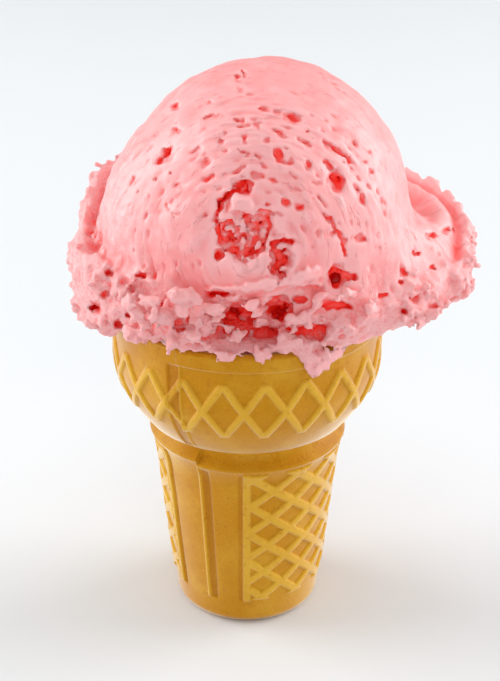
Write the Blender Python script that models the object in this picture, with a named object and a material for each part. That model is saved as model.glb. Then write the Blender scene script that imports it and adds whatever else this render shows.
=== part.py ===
# Flat-bottomed wafer cone with one scoop of strawberry ice cream.
# The cone stands on its own base at z = 0, centred on the origin, and its front faces -Y.
# Azimuths run from the front (-Y) towards +X, in degrees. Lengths are in metres.

import math

import bmesh
import bpy
from mathutils import Vector, noise

# Wafer cone, lower body
BASE_FLAT_RADIUS = 0.0137
BASE_EDGE_RADIUS = 0.0162
BASE_EDGE_HEIGHT = 0.0026
BODY_TOP_RADIUS = 0.0203
BODY_TOP_HEIGHT = 0.0412
SHOULDER_RADIUS = 0.0209
SHOULDER_HEIGHT = 0.0422
NECK_RADIUS = 0.0196

# Wafer cone, bowl
LOWER_LIP_RADIUS = 0.0229
LOWER_LIP_HEIGHT = 0.0477
BOWL_RADIUS = 0.0285
BOWL_FULL_HEIGHT = 0.0620
RIM_BAND_HEIGHT = 0.0699
RIM_HEIGHT = 0.0736
RIM_BAND_STEP = 0.0005
WALL = 0.0020
BOWL_FLOOR_HEIGHT = 0.0505
CONE_SEGMENTS = 42

# Ribs of the bowl's lattice
LATTICE_COUNT = 21
LATTICE_FIRST_AZIMUTH = -1.3
LATTICE_LOW = 0.0545
LATTICE_HIGH = 0.0667
LATTICE_RIB_WIDTH = 0.0026

# Ribs of the body's two waffle panels, one on each half of the mould
SEAM_AZIMUTH = -30.0
PLAIN_HALF_ANGLE = 27.0
PANEL_LOW = 0.0064
PANEL_HIGH = 0.0404
DIAMOND_ANGLE = 15.2
DIAMOND_HEIGHT = 0.0061
PANEL_RIB_WIDTH = 0.0022
RISING_RIB_HEIGHT = 0.00050
FALLING_RIB_HEIGHT = 0.00042
RIB_SINK = 0.0006
BAR_STEP_ANGLE = 14.0
SEAM_GROOVE_WIDTH = 0.0026
SEAM_GROOVE_DEPTH = 0.0004

# Ice cream
BALL_CENTRE = Vector((0.0036, 0.0, 0.0948))
BALL_RADIUS = 0.0302
SKIRT_COLUMNS = 72
CLEARANCE = 0.0004
BALL_ROUGHNESS = 0.0005
SKIRT_ROUGHNESS = 0.0014

# Skirt round the ball: azimuth, ridge radius, ridge height, lower edge height, crease latitude
SKIRT_STATIONS = (
    (-180.0, 0.0440, 0.0915, 0.0800, -14.0),
    (-145.0, 0.0400, 0.0985, 0.0820, 0.0),
    (-120.0, 0.0378, 0.0965, 0.0790, -1.0),
    (-95.0, 0.0380, 0.0915, 0.0768, -5.0),
    (-65.0, 0.0382, 0.0840, 0.0735, -12.0),
    (-40.0, 0.0350, 0.0785, 0.0730, -18.0),
    (0.0, 0.0325, 0.0775, 0.0722, -24.0),
    (30.0, 0.0350, 0.0795, 0.0730, -24.0),
    (55.0, 0.0405, 0.0820, 0.0768, -20.0),
    (82.0, 0.0490, 0.0845, 0.0755, -18.0),
    (105.0, 0.0495, 0.0880, 0.0775, -16.0),
    (135.0, 0.0475, 0.0910, 0.0790, -14.0),
    (165.0, 0.0450, 0.0915, 0.0800, -14.0),
    (180.0, 0.0440, 0.0915, 0.0800, -14.0),
)

# Drips that run over the rim: azimuth, half width in degrees, depth below the rim band's foot
DRIPS = (
    (-16.0, 4.5, 0.0040),
    (26.5, 7.5, 0.0034),
)

WAFER_COLOUR = (0.80, 0.50, 0.14, 1.0)
ICE_CREAM_COLOUR = (0.90, 0.42, 0.43, 1.0)


def clear_scene():
    for old in list(bpy.data.objects):
        bpy.data.objects.remove(old, do_unlink=True)


def make_material(name, colour, roughness):
    material = bpy.data.materials.new(name)
    material.use_nodes = True
    shader = material.node_tree.nodes["Principled BSDF"]
    shader.inputs["Base Color"].default_value = colour
    shader.inputs["Roughness"].default_value = roughness
    shader.inputs["Metallic"].default_value = 0.0
    return material


def around(azimuth, radius, height):
    # Point at an azimuth from the front, a radius from the axis and a height
    turn = math.radians(azimuth)
    return Vector((radius * math.sin(turn), -radius * math.cos(turn), height))


def smooth_between(start, end, share):
    # Ease from start to end with level ends
    share = min(max(share, 0.0), 1.0)
    return start + (end - start) * share * share * (3.0 - 2.0 * share)


def bowl_curve(height):
    # Outer radius of the bowl: it leaves the lower lip steeply and ends upright
    share = (height - LOWER_LIP_HEIGHT) / (BOWL_FULL_HEIGHT - LOWER_LIP_HEIGHT)
    share = min(max(share, 0.0), 1.0)
    swell = math.sin(share * math.pi / 2.0) ** 0.88
    return LOWER_LIP_RADIUS + (BOWL_RADIUS - LOWER_LIP_RADIUS) * swell


def body_curve(height):
    # Outer radius of the tapered body
    share = (height - BASE_EDGE_HEIGHT) / (BODY_TOP_HEIGHT - BASE_EDGE_HEIGHT)
    return BASE_EDGE_RADIUS + (BODY_TOP_RADIUS - BASE_EDGE_RADIUS) * share


def cone_profile():
    # Closed section of the cone, from the middle of its base round to the middle of its floor
    section = [(0.0, 0.0), (BASE_FLAT_RADIUS, 0.0)]
    for step in range(1, 4):
        turn = math.radians(90.0 * step / 4.0)
        radius = BASE_FLAT_RADIUS + (BASE_EDGE_RADIUS - BASE_FLAT_RADIUS) * math.sin(turn)
        section.append((radius, BASE_EDGE_HEIGHT * (1.0 - math.cos(turn))))
    section.append((BASE_EDGE_RADIUS, BASE_EDGE_HEIGHT))
    section.append((BODY_TOP_RADIUS, BODY_TOP_HEIGHT))
    section.append((SHOULDER_RADIUS, BODY_TOP_HEIGHT + 0.0004))
    section.append((SHOULDER_RADIUS, SHOULDER_HEIGHT))
    section.append((NECK_RADIUS, SHOULDER_HEIGHT + 0.0003))
    section.append((NECK_RADIUS, LOWER_LIP_HEIGHT - 0.0020))
    section.append((LOWER_LIP_RADIUS - 0.0006, LOWER_LIP_HEIGHT - 0.0010))
    section.append((LOWER_LIP_RADIUS, LOWER_LIP_HEIGHT))
    for step in range(1, 5):
        height = LOWER_LIP_HEIGHT + (BOWL_FULL_HEIGHT - LOWER_LIP_HEIGHT) * (step / 4.0) ** 1.4
        section.append((bowl_curve(height), height))
    rim_radius = BOWL_RADIUS + RIM_BAND_STEP
    section.append((BOWL_RADIUS, RIM_BAND_HEIGHT))
    section.append((rim_radius, RIM_BAND_HEIGHT + RIM_BAND_STEP))
    section.append((rim_radius, RIM_HEIGHT - 0.0006))
    section.append((rim_radius - 0.0006, RIM_HEIGHT))
    section.append((BOWL_RADIUS - WALL + 0.0004, RIM_HEIGHT))
    section.append((BOWL_RADIUS - WALL, RIM_HEIGHT - 0.0004))
    section.extend(reversed(inner_profile(0.0)))
    return section


def inner_profile(gap):
    # Inside of the bowl from the middle of its floor up, drawn in by a gap
    section = [(0.0, BOWL_FLOOR_HEIGHT + gap)]
    for step in range(4):
        height = BOWL_FLOOR_HEIGHT + (BOWL_FULL_HEIGHT - BOWL_FLOOR_HEIGHT) * step / 3.0
        radius = bowl_curve(height) - WALL - gap
        section.append((radius, height + gap * (1.0 - step / 3.0)))
    return section


def closed_body(name, rings, bottom, top):
    # Solid of rings of points from the bottom up, closed at both ends by a fan
    mesh = bpy.data.meshes.new(name)
    count = len(rings[0])
    points = [bottom]
    for ring in rings:
        points.extend(ring)
    points.append(top)
    last = len(points) - 1
    faces = []
    for column in range(count):
        following = (column + 1) % count
        faces.append((0, 1 + following, 1 + column))
        for row in range(len(rings) - 1):
            near = 1 + row * count
            far = near + count
            faces.append((near + column, near + following, far + following, far + column))
        ridge = 1 + (len(rings) - 1) * count
        faces.append((ridge + column, ridge + following, last))
    mesh.from_pydata(points, [], faces)
    mesh.validate()
    body = bpy.data.objects.new(name, mesh)
    bpy.context.scene.collection.objects.link(body)
    return body


def turned_body(name, section, segments):
    # Solid turned round the axis from a closed section that starts and ends on the axis
    rings = []
    for radius, height in section[1:-1]:
        turns = [LATTICE_FIRST_AZIMUTH + 360.0 * column / segments for column in range(segments)]
        rings.append([around(turn, radius, height) for turn in turns])
    bottom = Vector((0.0, 0.0, section[0][1]))
    top = Vector((0.0, 0.0, section[-1][1]))
    return closed_body(name, rings, bottom, top)


def curved_bar(name, start, end, wall_curve, corners, steps):
    # Bar that follows the wall from start to end, each an azimuth and a height.
    # Each corner of its section is a distance aside and a distance off the wall's surface.
    radius = wall_curve((start[1] + end[1]) / 2.0)
    run = math.radians(end[0] - start[0]) * radius
    rise = end[1] - start[1]
    length = math.hypot(run, rise)
    points = []
    for step in range(steps + 1):
        share = step / steps
        for aside, lift in corners:
            height = start[1] + rise * share + aside * run / length
            turn = start[0] + (end[0] - start[0]) * share
            turn -= math.degrees(aside * rise / length / radius)
            points.append(around(turn, wall_curve(height) + lift, height))
    count = len(corners)
    faces = [tuple(reversed(range(count)))]
    for step in range(steps):
        near = count * step
        far = near + count
        for corner in range(count):
            following = (corner + 1) % count
            faces.append((near + corner, near + following, far + following, far + corner))
    faces.append(tuple(range(count * steps, count * (steps + 1))))
    mesh = bpy.data.meshes.new(name)
    mesh.from_pydata(points, [], faces)
    shape = bmesh.new()
    shape.from_mesh(mesh)
    bmesh.ops.recalc_face_normals(shape, faces=shape.faces)
    shape.to_mesh(mesh)
    shape.free()
    bar = bpy.data.objects.new(name, mesh)
    bar.hide_render = True
    bar.display_type = "WIRE"
    return bar


def ridge_corners(width, height):
    # Section of a raised rib: a low ridge that is sunk into the wall
    return ((-width / 2.0, -RIB_SINK), (width / 2.0, -RIB_SINK), (0.0, height))


def groove_corners(width, depth):
    # Section of a cutter for a shallow flat groove
    reach = 0.0020
    return ((-width / 2.0, -depth), (width / 2.0, -depth), (width / 2.0, reach),
            (-width / 2.0, reach))


def lattice_bars():
    # Two crossing zigzags round the bowl: one rising and one falling bar at each crossing
    bars = []
    pitch = 360.0 / LATTICE_COUNT
    for index in range(LATTICE_COUNT):
        middle = LATTICE_FIRST_AZIMUTH + pitch * index
        left = middle - pitch / 2.0
        right = middle + pitch / 2.0
        rising = ((left, LATTICE_LOW), (right, LATTICE_HIGH), RISING_RIB_HEIGHT)
        falling = ((left, LATTICE_HIGH), (right, LATTICE_LOW), FALLING_RIB_HEIGHT)
        for start, end, rib_height in (rising, falling):
            corners = ridge_corners(LATTICE_RIB_WIDTH, rib_height)
            bars.append(curved_bar("lattice_bar", start, end, bowl_curve, corners, 2))
    return bars


def clipped_run(offset, slope, left, right):
    # Part of the line height = offset + slope * azimuth that lies inside a waffle panel
    crossings = sorted(((PANEL_LOW - offset) / slope, (PANEL_HIGH - offset) / slope))
    start = max(left, crossings[0])
    end = min(right, crossings[1])
    return start, end


def panel_bars(left, right):
    # Border and the two families of diagonal bars of one waffle panel
    bars = []
    slope = DIAMOND_HEIGHT / DIAMOND_ANGLE
    for direction, rib_height in ((1.0, RISING_RIB_HEIGHT), (-1.0, FALLING_RIB_HEIGHT)):
        anchor = left if direction > 0.0 else right
        reach = int((right - left) / DIAMOND_ANGLE) + 2
        for index in range(-reach, int(PANEL_HIGH / DIAMOND_HEIGHT) + 1):
            offset = PANEL_LOW + DIAMOND_HEIGHT * (index + 0.35) - direction * slope * anchor
            start, end = clipped_run(offset, direction * slope, left, right)
            if end - start < DIAMOND_ANGLE * 0.3:
                continue
            first = (start, offset + direction * slope * start)
            last = (end, offset + direction * slope * end)
            steps = max(1, round((end - start) / BAR_STEP_ANGLE))
            corners = ridge_corners(PANEL_RIB_WIDTH, rib_height)
            bars.append(curved_bar("panel_bar", first, last, body_curve, corners, steps))
    border_corners = ridge_corners(1.5 * PANEL_RIB_WIDTH, RISING_RIB_HEIGHT + 0.00007)
    for azimuth in (left, right):
        start = (azimuth, PANEL_LOW - 0.0004)
        end = (azimuth, PANEL_HIGH + 0.0004)
        bars.append(curved_bar("panel_border", start, end, body_curve, border_corners, 1))
    return bars


def seam_cutters():
    # Shallow upright grooves where the two halves of the mould met
    cutters = []
    corners = groove_corners(SEAM_GROOVE_WIDTH, SEAM_GROOVE_DEPTH)
    for azimuth in (SEAM_AZIMUTH, SEAM_AZIMUTH + 180.0):
        bowl_run = ((azimuth, LATTICE_LOW - 0.0030), (azimuth, RIM_BAND_HEIGHT - 0.0004))
        body_run = ((azimuth, PANEL_LOW), (azimuth, PANEL_HIGH))
        for run, curve in ((bowl_run, bowl_curve), (body_run, body_curve)):
            cutters.append(curved_bar("seam_cutter", run[0], run[1], curve, corners, 5))
    return cutters


def apply_boolean(target, pieces, operation):
    # One Boolean with every piece at once, applied, with the pieces then removed
    group = bpy.data.collections.new("helper_shapes")
    bpy.context.scene.collection.children.link(group)
    for piece in pieces:
        group.objects.link(piece)
    modifier = target.modifiers.new("join", "BOOLEAN")
    modifier.operation = operation
    modifier.solver = "EXACT"
    modifier.operand_type = "COLLECTION"
    modifier.collection = group
    bpy.context.view_layer.update()
    view = bpy.context.evaluated_depsgraph_get()
    joined = bpy.data.meshes.new_from_object(target.evaluated_get(view))
    target.modifiers.clear()
    target.data = joined
    for piece in pieces:
        bpy.data.objects.remove(piece, do_unlink=True)
    bpy.data.collections.remove(group)


def tidy_mesh(body):
    # Weld points that a Boolean left on top of each other and face every side outwards
    shape = bmesh.new()
    shape.from_mesh(body.data)
    bmesh.ops.remove_doubles(shape, verts=shape.verts, dist=0.000002)
    bmesh.ops.dissolve_degenerate(shape, edges=shape.edges, dist=0.000002)
    bmesh.ops.recalc_face_normals(shape, faces=shape.faces)
    shape.to_mesh(body.data)
    shape.free()


def make_wafer_cup():
    cup = turned_body("wafer_cup", cone_profile(), CONE_SEGMENTS)
    apply_boolean(cup, seam_cutters(), "DIFFERENCE")
    bars = lattice_bars()
    for half in (0.0, 180.0):
        left = SEAM_AZIMUTH + PLAIN_HALF_ANGLE + half
        right = left + 180.0 - 2.0 * PLAIN_HALF_ANGLE
        bars.extend(panel_bars(left, right))
    apply_boolean(cup, bars, "UNION")
    tidy_mesh(cup)
    cup.data.materials.clear()
    cup.data.materials.append(make_material("wafer", WAFER_COLOUR, 0.75))
    cup.data.shade_smooth()
    cup.data.set_sharp_from_angle(angle=math.radians(32.0))
    return cup


def skirt_at(azimuth):
    # Ridge radius, ridge height, lower edge and crease latitude, eased between the stations
    for near, far in zip(SKIRT_STATIONS, SKIRT_STATIONS[1:]):
        if near[0] <= azimuth <= far[0]:
            share = (azimuth - near[0]) / (far[0] - near[0])
            return [smooth_between(a, b, share) for a, b in zip(near[1:], far[1:])]
    raise ValueError("azimuth outside the stations")


def drip_depth(azimuth):
    # How far the drips reach below the skirt's edge at an azimuth
    depth = 0.0
    for middle, half_width, reach in DRIPS:
        share = abs(azimuth - middle) / half_width
        if share < 1.0:
            depth = max(depth, reach * (1.0 - share * share))
    return depth


def roughened(point, direction, amount):
    # Point pushed along a direction by two octaves of even noise
    coarse = noise.noise(point * 170.0)
    fine = noise.noise(point * 420.0 + Vector((3.0, 7.0, 1.0)))
    return point + direction * amount * (coarse + 0.6 * fine) * 1.6


def ball_point(azimuth, latitude):
    turn = math.radians(azimuth)
    tilt = math.radians(latitude)
    outward = Vector((math.cos(tilt) * math.sin(turn), -math.cos(tilt) * math.cos(turn),
                      math.sin(tilt)))
    return roughened(BALL_CENTRE + outward * BALL_RADIUS, outward, BALL_ROUGHNESS)


def scoop_column(azimuth):
    # Points of one upright section from the cup's floor, out under the skirt and up the ball
    ridge_radius, ridge_height, edge_height, crease = skirt_at(azimuth)
    rim_radius = BOWL_RADIUS + RIM_BAND_STEP + CLEARANCE
    rim_top = RIM_HEIGHT + CLEARANCE
    drip = drip_depth(azimuth)
    foot = min(edge_height, rim_top - 0.0006) - drip
    points = [around(azimuth, radius, height) for radius, height in inner_profile(CLEARANCE)[1:]]
    inner_radius = BOWL_RADIUS - WALL - CLEARANCE
    points.append(around(azimuth, inner_radius, rim_top))
    points.append(around(azimuth, rim_radius, rim_top))
    if drip > 0.0:
        points.append(around(azimuth, rim_radius, foot))
        points.append(around(azimuth, rim_radius + 0.0012, foot - 0.0004))
        points.append(around(azimuth, rim_radius + 0.0026, foot + 0.0010))
    else:
        reach = ridge_radius - rim_radius
        points.append(around(azimuth, rim_radius + 0.0002, foot + 0.0003))
        points.append(around(azimuth, rim_radius + reach * 0.35, edge_height + 0.0002))
        points.append(around(azimuth, rim_radius + reach * 0.75, edge_height + 0.0004))
    outward = around(azimuth, 1.0, 0.0)
    middle_height = (ridge_height + edge_height) / 2.0
    for radius, height in ((ridge_radius - 0.0008, edge_height + 0.0016),
                           (ridge_radius, middle_height),
                           (ridge_radius - 0.0006, ridge_height - 0.0012),
                           (ridge_radius - 0.0024, ridge_height)):
        spot = around(azimuth, max(radius, rim_radius + 0.0012), height)
        points.append(roughened(spot, outward, SKIRT_ROUGHNESS))
    crease_point = ball_point(azimuth, crease)
    ridge_point = points[-1]
    for share, dip in ((0.35, 0.0010), (0.70, 0.0016)):
        spot = ridge_point.lerp(crease_point, share)
        spot.z -= dip
        points.append(roughened(spot, Vector((0.0, 0.0, 1.0)), SKIRT_ROUGHNESS * 0.5))
    points.append(crease_point)
    steps = 11
    for step in range(1, steps):
        points.append(ball_point(azimuth, crease + (90.0 - crease) * step / steps))
    return points


def make_ice_cream():
    columns = []
    for index in range(SKIRT_COLUMNS):
        columns.append(scoop_column(-180.0 + 360.0 * index / SKIRT_COLUMNS))
    rings = [list(ring) for ring in zip(*columns)]
    bottom = Vector((0.0, 0.0, BOWL_FLOOR_HEIGHT + CLEARANCE))
    top = ball_point(0.0, 90.0)
    scoop = closed_body("strawberry_scoop", rings, bottom, top)
    scoop.data.materials.append(make_material("strawberry_ice_cream", ICE_CREAM_COLOUR, 0.45))
    scoop.data.shade_smooth()
    scoop.data.set_sharp_from_angle(angle=math.radians(60.0))
    return scoop


def build():
    clear_scene()
    make_wafer_cup()
    make_ice_cream()


build()
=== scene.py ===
# Strawberry ice cream in a flat-bottomed wafer cone, dressed for its portrait.
# Metres, +Z up, the front of the cone at -Y. Azimuths run from the front towards +X.
import math

import bpy
import numpy as np
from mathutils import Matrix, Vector


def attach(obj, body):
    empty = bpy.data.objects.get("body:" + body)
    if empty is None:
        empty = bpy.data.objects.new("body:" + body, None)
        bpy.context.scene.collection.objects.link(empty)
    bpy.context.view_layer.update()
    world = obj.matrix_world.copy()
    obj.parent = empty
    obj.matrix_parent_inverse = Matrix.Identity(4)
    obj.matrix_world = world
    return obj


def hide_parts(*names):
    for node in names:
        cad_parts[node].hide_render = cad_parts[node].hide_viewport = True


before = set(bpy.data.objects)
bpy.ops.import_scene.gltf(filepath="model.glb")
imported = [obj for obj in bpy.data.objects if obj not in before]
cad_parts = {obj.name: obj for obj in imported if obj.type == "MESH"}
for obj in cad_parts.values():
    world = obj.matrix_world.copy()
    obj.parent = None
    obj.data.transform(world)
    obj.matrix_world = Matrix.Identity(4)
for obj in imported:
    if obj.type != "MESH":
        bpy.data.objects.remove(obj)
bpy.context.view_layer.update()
mm = 0.001
print("frame loaded")


# The view: a camera 26 degrees above the horizon, aimed at the cone's axis

view = {
    "imageWidth": 500,
    "imageHeight": 681,
    "focalPixels": 1500.0,
    "pitch": 26.0,
    "distance": 0.325,
    "aimHeight": 0.0632,
    "axisPixel": 247.3,       # column of the photo in which the cone's axis stands
}


def viewFrame():
    # forward = (0, cos p, -sin p), up = (0, sin p, cos p), eye = aim - distance * forward
    pitch = math.radians(view["pitch"])
    forward = np.array([0.0, math.cos(pitch), -math.sin(pitch)])
    up = np.array([0.0, math.sin(pitch), math.cos(pitch)])
    eye = np.array([0.0, 0.0, view["aimHeight"]]) - view["distance"] * forward
    return eye, forward, up


def toPixels(points):
    # column = axis + f * x / depth, row = middle - f * rise / depth
    eye, forward, up = viewFrame()
    offset = points - eye
    depth = offset @ forward
    column = view["axisPixel"] + view["focalPixels"] * offset[..., 0] / depth
    row = view["imageHeight"] / 2.0 - view["focalPixels"] * (offset @ up) / depth
    return column, row


def pixelRay(column, row):
    eye, forward, up = viewFrame()
    ray = forward + up * (view["imageHeight"] / 2.0 - row) / view["focalPixels"]
    ray = ray + np.array([1.0, 0.0, 0.0]) * (column - view["axisPixel"]) / view["focalPixels"]
    return eye, ray / np.linalg.norm(ray)


def onUpright(column, row, radius):
    # Front point of an upright cylinder of a given radius round the axis, seen at a pixel
    eye, ray = pixelRay(column, row)
    a = ray[0] ** 2 + ray[1] ** 2
    b = 2.0 * (eye[0] * ray[0] + eye[1] * ray[1])
    c = eye[0] ** 2 + eye[1] ** 2 - radius * radius
    root = max(b * b - 4.0 * a * c, 0.0)
    return eye + ray * (-b - math.sqrt(root)) / (2.0 * a)


# Noise, worked out for whole arrays of points

noiseTables = {}


def tablesFor(seed):
    if seed not in noiseTables:
        draw = np.random.default_rng(seed)
        arrows = draw.normal(size=(256, 3))
        arrows /= np.linalg.norm(arrows, axis=1)[:, None]
        noiseTables[seed] = (draw.permutation(256), arrows, draw.random((256, 4)))
    return noiseTables[seed]


def cornerIndex(shuffle, x, y, z):
    return shuffle[(x + shuffle[(y + shuffle[z & 255]) & 255]) & 255]


def ripple(points, size, seed=1):
    # Gradient noise: at each of a cell's 8 corners an arrow is dotted with the offset,
    # and the results are blended with fade(t) = t^3 (6 t^2 - 15 t + 10)
    shuffle, arrows, _ = tablesFor(seed)
    spots = np.asarray(points, float) / size
    cell = np.floor(spots).astype(np.int64)
    part = spots - cell
    fade = part ** 3 * (part * (part * 6.0 - 15.0) + 10.0)
    total = np.zeros(spots.shape[:-1])
    for dx in (0, 1):
        for dy in (0, 1):
            for dz in (0, 1):
                index = cornerIndex(shuffle, *np.moveaxis(cell + np.array([dx, dy, dz]), -1, 0))
                offset = part - np.array([dx, dy, dz])
                weight = np.abs(1 - dx - fade[..., 0]) * np.abs(1 - dy - fade[..., 1])
                weight = weight * np.abs(1 - dz - fade[..., 2])
                total += weight * (arrows[index] * offset).sum(-1)
    return total * 1.6


def ripples(points, size, octaves=3, seed=1, keep=0.5):
    # Sum of octaves of ripple, each half the size and keep times the height of the last
    total = 0.0
    height = 1.0
    for octave in range(octaves):
        total = total + height * ripple(points, size / 2.0 ** octave, seed + octave)
        height *= keep
    return total


def cells(points, size, seed=1):
    # Cell noise: distance to the nearest of seed points, which keep within 0.4 of the
    # middle of their own cells, and a steady random number of that point
    shuffle, _, spare = tablesFor(seed)
    spots = np.asarray(points, float) / size
    cell = np.floor(spots - 0.5).astype(np.int64)
    near = np.full(spots.shape[:-1], 9.0)
    chance = np.zeros_like(near)
    for dx in (0, 1):
        for dy in (0, 1):
            for dz in (0, 1):
                home = cell + np.array([dx, dy, dz])
                index = cornerIndex(shuffle, home[..., 0], home[..., 1], home[..., 2])
                offset = home + 0.1 + 0.8 * spare[index, :3] - spots
                gap = np.sqrt((offset * offset).sum(-1))
                closer = gap < near
                chance = np.where(closer, spare[index, 3], chance)
                near = np.where(closer, gap, near)
    return near, chance


def ease(low, high, values):
    # 0 below low, 1 above high, smooth between
    share = np.clip((np.asarray(values, float) - low) / (high - low), 0.0, 1.0)
    return share * share * (3.0 - 2.0 * share)


# Meshes

def meshFrom(name, points, faces):
    # faces is an array of quads, in which a triangle repeats its last corner
    triangle = faces[:, 2] == faces[:, 3]
    sizes = np.where(triangle, 3, 4)
    corners = faces.reshape(-1)
    keep = np.ones(len(corners), bool)
    keep[3::4] = ~triangle
    corners = corners[keep]
    starts = np.concatenate([[0], np.cumsum(sizes)[:-1]])
    mesh = bpy.data.meshes.new(name)
    mesh.vertices.add(len(points))
    mesh.vertices.foreach_set("co", np.asarray(points, np.float32).ravel())
    mesh.loops.add(len(corners))
    mesh.loops.foreach_set("vertex_index", corners.astype(np.int32))
    mesh.polygons.add(len(sizes))
    mesh.polygons.foreach_set("loop_start", starts.astype(np.int32))
    mesh.update(calc_edges=True)
    mesh.validate()
    mesh.shade_smooth()
    piece = bpy.data.objects.new(name, mesh)
    bpy.context.scene.collection.objects.link(piece)
    return piece


def wrapped(points):
    # Quads of a grid of rows by columns that closes round its columns. Rows run up the
    # outside, columns run with the azimuth, and a fan closes each end.
    rows, columns = points.shape[:2]
    column = np.arange(columns)
    following = (column + 1) % columns
    row = np.arange(rows - 1)[:, None] * columns
    above = row + columns
    quads = np.stack([row + column, row + following, above + following, above + column], -1)
    lowTip = np.full(columns, rows * columns)
    highTip = lowTip + 1
    top = (rows - 1) * columns
    low = np.stack([following, column, lowTip, lowTip], -1)
    high = np.stack([top + column, top + following, highTip, highTip], -1)
    tips = np.stack([points[0].mean(0), points[-1].mean(0)])
    return np.concatenate([points.reshape(-1, 3), tips]), np.concatenate([quads.reshape(-1, 4), low, high])


def positions(piece):
    spots = np.zeros(len(piece.data.vertices) * 3, np.float32)
    piece.data.vertices.foreach_get("co", spots)
    return spots.reshape(-1, 3).astype(float)


def outwards(piece):
    arrows = np.zeros(len(piece.data.vertices) * 3, np.float32)
    piece.data.vertices.foreach_get("normal", arrows)
    return arrows.reshape(-1, 3).astype(float)


def paint(piece, name, values):
    layer = piece.data.attributes.new(name, "FLOAT", "POINT")
    layer.data.foreach_set("value", np.asarray(values, np.float32).ravel())


def paintSpots(piece, name, spots):
    layer = piece.data.attributes.new(name, "FLOAT_VECTOR", "POINT")
    layer.data.foreach_set("vector", np.asarray(spots, np.float32).ravel())


# Materials

class Wire:
    # A shader socket that can be written into sums
    def __init__(self, paper, socket):
        self.paper = paper
        self.socket = socket

    def maths(self, operation, first, second):
        return self.paper.node("ShaderNodeMath", {"operation": operation}, {0: first, 1: second})

    def __add__(self, other):
        return self.maths("ADD", self, other)

    def __sub__(self, other):
        return self.maths("SUBTRACT", self, other)

    def __rsub__(self, other):
        return self.maths("SUBTRACT", other, self)

    def __mul__(self, other):
        return self.maths("MULTIPLY", self, other)

    __radd__ = __add__
    __rmul__ = __mul__

    def clipped(self):
        return self.paper.node("ShaderNodeClamp", {}, {"Value": self})

    def between(self, low, high):
        # 0 at low, 1 at high, smooth between
        return self.paper.node("ShaderNodeMapRange", {"interpolation_type": "SMOOTHSTEP"},
                               {"Value": self, "From Min": low, "From Max": high})


class Paper:
    # A material being written: one method makes every node
    def __init__(self, name):
        self.material = bpy.data.materials.new(name)
        self.material.use_nodes = True
        self.tree = self.material.node_tree
        self.shader = self.tree.nodes["Principled BSDF"]

    def node(self, kind, settings, values, output=0):
        made = self.tree.nodes.new(kind)
        for key, value in settings.items():
            setattr(made, key, value)
        self.fill(made, values)
        return Wire(self, made.outputs[output])

    def fill(self, made, values):
        for key, value in values.items():
            socket = made.inputs[key]
            if isinstance(value, Wire):
                self.tree.links.new(value.socket, socket)
            else:
                socket.default_value = value

    def finish(self, values):
        self.fill(self.shader, values)
        return self.material

    def place(self):
        return self.node("ShaderNodeTexCoord", {}, {}, "Object")

    def layer(self, name, output="Fac"):
        return self.node("ShaderNodeAttribute", {"attribute_name": name}, {}, output)

    def noise(self, spot, scale, detail=3.0, roughness=0.55):
        values = {"Vector": spot, "Scale": scale, "Detail": detail, "Roughness": roughness}
        return self.node("ShaderNodeTexNoise", {}, values)

    def blend(self, share, first, second):
        # Colour: first where share is 0, second where it is 1. Sockets 6 and 7 hold the colours.
        return self.node("ShaderNodeMix", {"data_type": "RGBA"}, {0: share, 6: first, 7: second}, 2)

    def bump(self, height, distance, strength):
        values = {"Height": height, "Distance": distance, "Strength": strength}
        return self.node("ShaderNodeBump", {}, values)


# Wafer cone

wafer = {
    "baseFlat": 13.7, "baseEdge": 16.2, "baseRise": 2.6,
    "bodyTop": 20.3, "bodyHeight": 42.4, "flare": 1.1, "flareReach": 5.0,
    "shoulder": 21.6, "shoulderHeight": 43.4,
    "neck": 19.5, "halfSlip": 1.0,
    "lip": 23.0, "lipHeight": 48.8,
    "bowl": 28.5, "bowlHeight": 62.0,
    "bandHeight": 69.9, "bandStep": 0.5, "rimHeight": 73.6,
    "wall": 2.0, "floorHeight": 50.5,
    "seam": -30.0, "plainHalf": 29.8,
    "latticeCount": 21, "latticeStart": -1.3, "latticeMiddle": 60.6, "latticeReach": 6.3,
    "latticeWidth": 1.5, "ribHeight": 0.62, "stripDepth": 0.40, "bowlFlash": 0.35,
    # Diamonds of the panel: one's angle from the seam and height, width in degrees, height,
    # degrees that the columns lean for each mm up
    "panelLow": 7.2, "panelHigh": 41.6, "diamondAt": (46.0, 33.2), "diamondAngle": 28.4,
    "diamondHeight": 7.25, "diamondLean": 0.226,
    "panelRibWidth": 2.0, "panelRib": 0.85, "panelSunk": 0.30,
    "borderWidth": 1.6, "border": 0.42, "groove": 0.25, "stemFlash": 0.40, "seamGroove": 0.40,
    "sway": 0.10,             # the baked wall is never quite round
    # pale goes on the ribs and dark in sunk parts, partly as painted highlight and shade
    "colour": (0.565, 0.240, 0.001), "pale": (0.86, 0.54, 0.06), "dark": (0.42, 0.13, 0.001),
}


def ridge(distance, width, softness=0.35):
    # Height share of a flat-topped rib at a distance from its middle line, in mm
    return 1.0 - ease(width / 2.0 - softness * 0.5, width / 2.0 + softness * 0.5, np.abs(distance))


def toLines(along, across, run, rise, sign):
    # Distance in mm to the nearest of a family of parallel slanting lines. along and across
    # count the pattern's cells, which are run by rise mm.
    share = across - sign * along
    share = share - np.round(share)
    return share * run * rise / math.hypot(run, rise)


def halfOf(azimuth):
    # 1 on the half of the mould right of the seam, 0 on the left half
    turn = (azimuth - wafer["seam"]) % 360.0
    edge = 0.4
    return ease(0.0, edge, turn) * (1.0 - ease(180.0, 180.0 + edge, turn))


def sinceSeam(azimuth):
    # Signed angle from the nearest of the two seams
    turn = (azimuth - wafer["seam"] + 90.0) % 180.0
    return turn - 90.0


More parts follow.
